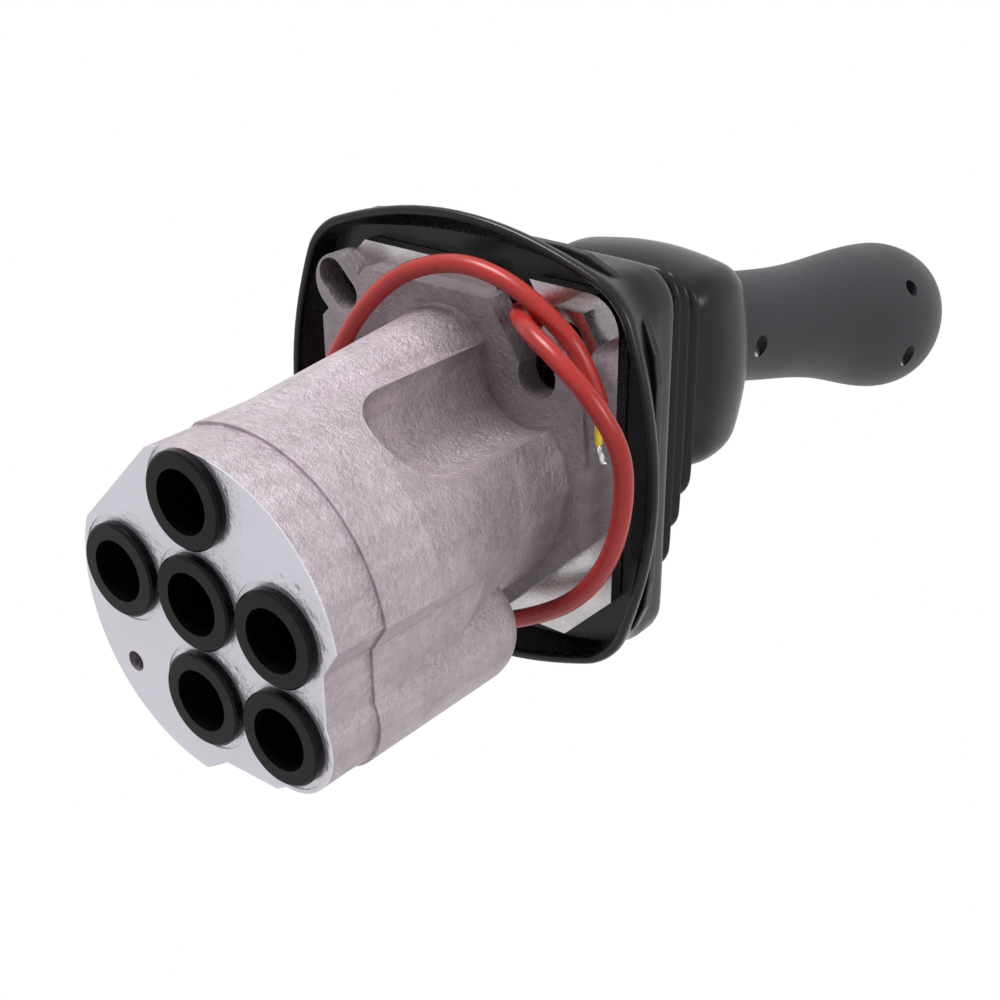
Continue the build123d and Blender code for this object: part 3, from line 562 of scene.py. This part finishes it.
class JOYSTICK_OT_boot(bpy.types.Operator):
    """Model the rubber boot: skirt, lower pleats, upper pleats with the dome, and the ledge"""

    bl_idname = "joystick.boot"
    bl_label = "Boot"

    def execute(self, context):
        settings = context.scene.joystick_boot
        rubber = bpy.data.materials["boot_moulding"]
        # skirt and lower pleats, from the square shoulder both ways
        lower = start_frame("boot_lower", SHOULDER)
        for section in LOWER_PLEATS:
            extrude_section(lower, section)
        shoulder = SHOULDER[0] * MM
        pick(lower, "EDGE", lambda edge: all(abs(v.co.z - shoulder) < 1e-6 for v in edge.verts))
        for section in SKIRT_SECTIONS:
            extrude_section(lower, section)
        finish_shell(lower, settings.wall)
        # upper pleats and dome, up to the collar round the grip
        upper = start_frame("boot_upper", LOWER_PLEATS[-1])
        for section in UPPER_PLEATS:
            extrude_section(upper, section)
        bpy.ops.mesh.extrude_region_move(TRANSFORM_OT_translate={"value": (0, 0, -BOOT_LIP)})
        finish_shell(upper, settings.wall)
        finish_piece(lower, None, rubber)
        finish_piece(upper, None, rubber)
        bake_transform(lower)
        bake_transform(upper)
        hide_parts("boot")
        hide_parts("boot")
        # ledge that rests on the plate
        seat = (PLATE_TOP + LEDGE_GAP, LEDGE_HALF, LEDGE_CORNER, 0.0, 0.0)
        ledge = start_frame("boot_ledge", [value / MM for value in seat])
        bpy.ops.mesh.edge_face_add()
        bpy.ops.mesh.inset(thickness=LEDGE_HALF - settings.ledge_half, depth=0)
        bpy.ops.mesh.delete(type="FACE")
        bpy.ops.mesh.select_all(action="SELECT")
        bpy.ops.mesh.extrude_region_move(TRANSFORM_OT_translate={"value": (0, 0, LEDGE_WALL)})
        bpy.ops.mesh.select_all(action="SELECT")
        bpy.ops.mesh.normals_make_consistent(inside=False)
        bpy.ops.object.mode_set(mode="OBJECT")
        add_modifier(ledge, "BEVEL", width=0.4 * MM, segments=2)
        finish_piece(ledge, "valve", rubber)
        return {"FINISHED"}


class JOYSTICK_OT_springs(bpy.types.Operator):
    """Copy each return spring as a loose mesh in place, and hide the imported one"""

    bl_idname = "joystick.springs"
    bl_label = "Springs"

    def execute(self, context):
        for number in (1, 2, 3, 4):
            name = f"return_spring_{number}"
            node = frame["nodes"][name]
            spring = node.copy()
            spring.data = node.data.copy()
            spring.name = f"stage_spring_{number}"
            context.scene.collection.objects.link(spring)
            spring.parent = None
            spring.matrix_world = node.matrix_world
            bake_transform(spring)
            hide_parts(name)
        return {"FINISHED"}


# ------------------------------------------------------------------ wires
def wire_curve(name, route, diameter):
    """A round wire along a smooth curve over its route."""
    data = bpy.data.curves.new(name, "CURVE")
    data.dimensions = "3D"
    line = data.splines.new("NURBS")
    line.points.add(len(route) - 1)
    for point, place in zip(line.points, route):
        point.co = (place[0] * MM, place[1] * MM, place[2] * MM, 1)
    line.order_u = 3
    line.use_endpoint_u = True
    line.resolution_u = 8
    data.bevel_depth = diameter / 2
    data.bevel_resolution = 5
    data.use_fill_caps = True
    wire = bpy.data.objects.new(name, data)
    bpy.context.scene.collection.objects.link(wire)
    return wire


def centre_line(route):
    """Points along the smooth curve over a route."""
    guide = wire_curve("guide", route, 0)
    guide.data.use_fill_caps = False
    mesh = bpy.data.meshes.new_from_object(guide)
    points = [vertex.co.copy() for vertex in mesh.vertices]
    bpy.data.objects.remove(guide)
    bpy.data.meshes.remove(mesh)
    return points


class JOYSTICK_OT_wires(bpy.types.Operator):
    """Model the red sleeve, the yellow wire at its end and the wire's bare strands"""

    bl_idname = "joystick.wires"
    bl_label = "Wires"

    def execute(self, context):
        settings = context.scene.joystick_wires
        sleeve = wire_curve("wire_sleeve_red", SLEEVE_ROUTE, settings.sleeve_diameter)
        finish_piece(sleeve, "valve", bpy.data.materials["sleeve_coating"])
        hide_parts("wire_sleeve")
        wire = wire_curve("signal_wire_yellow", WIRE_ROUTE, settings.wire_diameter)
        finish_piece(wire, "valve", bpy.data.materials["wire_insulation"])
        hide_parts("signal_wire")
        # strands twisted round the middle of the bare end
        strands = wire_curve("bare_strands", STRANDS_ROUTE, settings.strand_diameter)
        core = centre_line(STRANDS_ROUTE)
        for number in range(STRANDS):
            line = strands.data.splines.new("POLY")
            line.points.add(len(core) - 1)
            for step, (point, place) in enumerate(zip(line.points, core)):
                angle = math.radians(360 / STRANDS * number + 9 * step)
                swell = settings.strand_diameter * (1 + 0.25 * math.sin(step + number))
                offset = Vector((math.cos(angle), 0, math.sin(angle))) * swell
                point.co = (*(place + offset), 1)
        finish_piece(strands, "valve", bpy.data.materials["tinned_strands"])
        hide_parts("wire_strands")
        line = centre_line(SLEEVE_ROUTE)
        return {"FINISHED"}


# ------------------------------------------------------------------ finishes
class JOYSTICK_OT_finishes(bpy.types.Operator):
    """Make the finishes and give them to the rigid pieces"""

    bl_idname = "joystick.finishes"
    bl_label = "Finishes"

    def execute(self, context):
        settings = context.scene.joystick_finish
        boot = context.scene.joystick_boot
        wires = context.scene.joystick_wires
        mottle = mottle_group()
        pits = pits_group()
        by_slot = {
            "cast_body": cast_block(mottle, pits, settings),
            "port_plastic": moulded("plug_plastic", mottle, pits, settings.plug),
            "zinc_steel": bright_steel("zinc_plate", mottle, (0.60, 0.57, 0.58, 1), 0.26),
            "ground_steel": bright_steel("ground_steel", mottle, (0.55, 0.55, 0.56, 1), 0.2),
            "spring_steel": bright_steel("spring_steel", mottle, (0.32, 0.32, 0.33, 1), 0.35),
            "seal_rubber": moulded("seal_rubber", mottle, pits, SEAL_COLOUR),
            "grip_plastic": moulded("grip_plastic", mottle, pits, settings.grip),
            "button_plastic": moulded("button_plastic", mottle, pits, settings.plug),
        }
        moulded("boot_moulding", mottle, pits, boot.colour)
        moulded("sleeve_coating", mottle, pits, wires.sleeve_colour)
        moulded("wire_insulation", mottle, pits, wires.wire_colour)
        bright_steel("tinned_strands", mottle, (0.78, 0.78, 0.76, 1), 0.3)
        for entry in frame["record"]["subparts"]:
            material = by_slot.get(entry["material_slot"])
            if material:
                node = frame["nodes"][entry["node"]]
                for place in node.material_slots:
                    place.material = material
        return {"FINISHED"}


# ------------------------------------------------------------------ stage
def add_lamp(name, size, power, place, target):
    """A soft square lamp that faces a point."""
    deselect()
    bpy.ops.object.light_add(type="AREA", location=place)
    lamp = bpy.context.object
    lamp.name = name
    lamp.data.size = size
    lamp.data.energy = power
    lamp.rotation_euler = (Vector(target) - Vector(place)).to_track_quat("-Z", "Y").to_euler()
    return lamp


class JOYSTICK_OT_stage(bpy.types.Operator):
    """Set up the camera, the lamps, the white room and the pale floor"""

    bl_idname = "joystick.stage"
    bl_label = "Stage"

    def execute(self, context):
        scene = context.scene
        settings = scene.joystick_stage
        forward = Vector(settings.look).normalized()
        upward = Vector(settings.up).normalized()
        right = forward.cross(upward).normalized()
        upward = right.cross(forward)
        deselect()
        bpy.ops.object.camera_add(location=settings.eye)
        camera = bpy.context.object
        turn = Matrix((right, upward, -forward)).transposed().to_4x4()
        camera.matrix_world = Matrix.Translation(settings.eye) @ turn
        camera.data.lens = settings.lens
        camera.data.sensor_width = 36
        camera.data.clip_start = 0.01
        scene.camera = camera
        middle = Vector((0, 0, 0.03))
        key = middle + upward * 0.75 - forward * 0.35 - right * 0.35
        fill = middle - forward * 0.7 + right * 0.6 + upward * 0.1
        add_lamp("key_lamp", 0.35, settings.key_power, key, middle)
        add_lamp("fill_lamp", 0.3, settings.fill_power, fill, middle)
        # white room: full white to the eye and in reflections, softer as light
        world = bpy.data.worlds.new("white_room")
        scene.world = world
        world.use_nodes = True
        tree = world.node_tree
        room = tree.nodes["Background"]
        room.inputs["Color"].default_value = (1, 1, 1, 1)
        path = add_node(tree, "ShaderNodeLightPath")
        seen = add_node(tree, "ShaderNodeMath", operation="MAXIMUM")
        join(tree, path, "Is Camera Ray", seen, 0)
        join(tree, path, "Is Transmission Ray", seen, 1)
        shiny = add_node(tree, "ShaderNodeMath", operation="MAXIMUM")
        join(tree, seen, "Value", shiny, 0)
        join(tree, path, "Is Glossy Ray", shiny, 1)
        level = add_node(tree, "ShaderNodeMapRange", To_Min=settings.room_light, To_Max=1.0)
        join(tree, shiny, "Value", level, "Value")
        join(tree, level, "Result", room, "Strength")
        # floor, seen only from above, which lets all other light through
        deselect()
        bpy.ops.mesh.primitive_grid_add(
            x_subdivisions=8, y_subdivisions=8, size=3.0, location=(0, 0, STAND))
        floor = bpy.context.object
        floor.name = "floor"
        bpy.ops.object.transform_apply(location=True, rotation=True, scale=True)
        material, tree, surface, _ = new_material("pale_floor", roughness=0.8)
        surface.inputs["Base Color"].default_value = (0.86, 0.86, 0.86, 1)
        back = add_node(tree, "ShaderNodeNewGeometry")
        rays = add_node(tree, "ShaderNodeLightPath")
        front = add_node(tree, "ShaderNodeMath", operation="SUBTRACT", use_clamp=True)
        join(tree, rays, "Is Camera Ray", front, 0)
        join(tree, back, "Backfacing", front, 1)
        clear = add_node(tree, "ShaderNodeBsdfTransparent")
        choice = add_node(tree, "ShaderNodeMixShader")
        join(tree, front, "Value", choice, 0)
        join(tree, clear, "BSDF", choice, 1)
        join(tree, surface, "BSDF", choice, 2)
        join(tree, choice, "Shader", tree.nodes["Material Output"], "Surface")
        floor.data.materials.append(material)
        scene.view_settings.view_transform = "Standard"
        return {"FINISHED"}


class JOYSTICK_PT_panel(bpy.types.Panel):
    """Lists the steps that dress the joystick valve"""

    bl_idname = "JOYSTICK_PT_panel"
    bl_label = "Joystick Valve"
    bl_space_type = "VIEW_3D"
    bl_region_type = "UI"
    bl_category = "Joystick"

    def draw(self, context):
        scene = context.scene
        for step in STEPS:
            self.layout.operator(step)
        for group in ("joystick_boot", "joystick_wires", "joystick_finish", "joystick_stage"):
            settings = getattr(scene, group)
            box = self.layout.box()
            for name in settings.__annotations__:
                box.prop(settings, name)


GROUPS = {
    "joystick_boot": BootSettings,
    "joystick_wires": WireSettings,
    "joystick_finish": FinishSettings,
    "joystick_stage": StageSettings,
}
CLASSES = (
    *GROUPS.values(), JOYSTICK_OT_finishes, JOYSTICK_OT_boot, JOYSTICK_OT_springs,
    JOYSTICK_OT_wires, JOYSTICK_OT_stage, JOYSTICK_PT_panel,
)
STEPS = (
    "joystick.finishes", "joystick.boot", "joystick.springs", "joystick.wires", "joystick.stage",
)


def register():
    """Register the classes and the settings."""
    for entry in CLASSES:
        bpy.utils.register_class(entry)
    for name, group in GROUPS.items():
        setattr(bpy.types.Scene, name, bpy.props.PointerProperty(type=group))


def unregister():
    """Take the settings and the classes away again."""
    for name in GROUPS:
        delattr(bpy.types.Scene, name)
    for entry in reversed(CLASSES):
        bpy.utils.unregister_class(entry)


def main():
    """Dress the part."""
    register()
    bpy.ops.joystick.finishes()
    bpy.ops.joystick.boot()
    bpy.ops.joystick.springs()
    bpy.ops.joystick.wires()
    bpy.ops.joystick.stage()


if __name__ == "__main__":
    main()
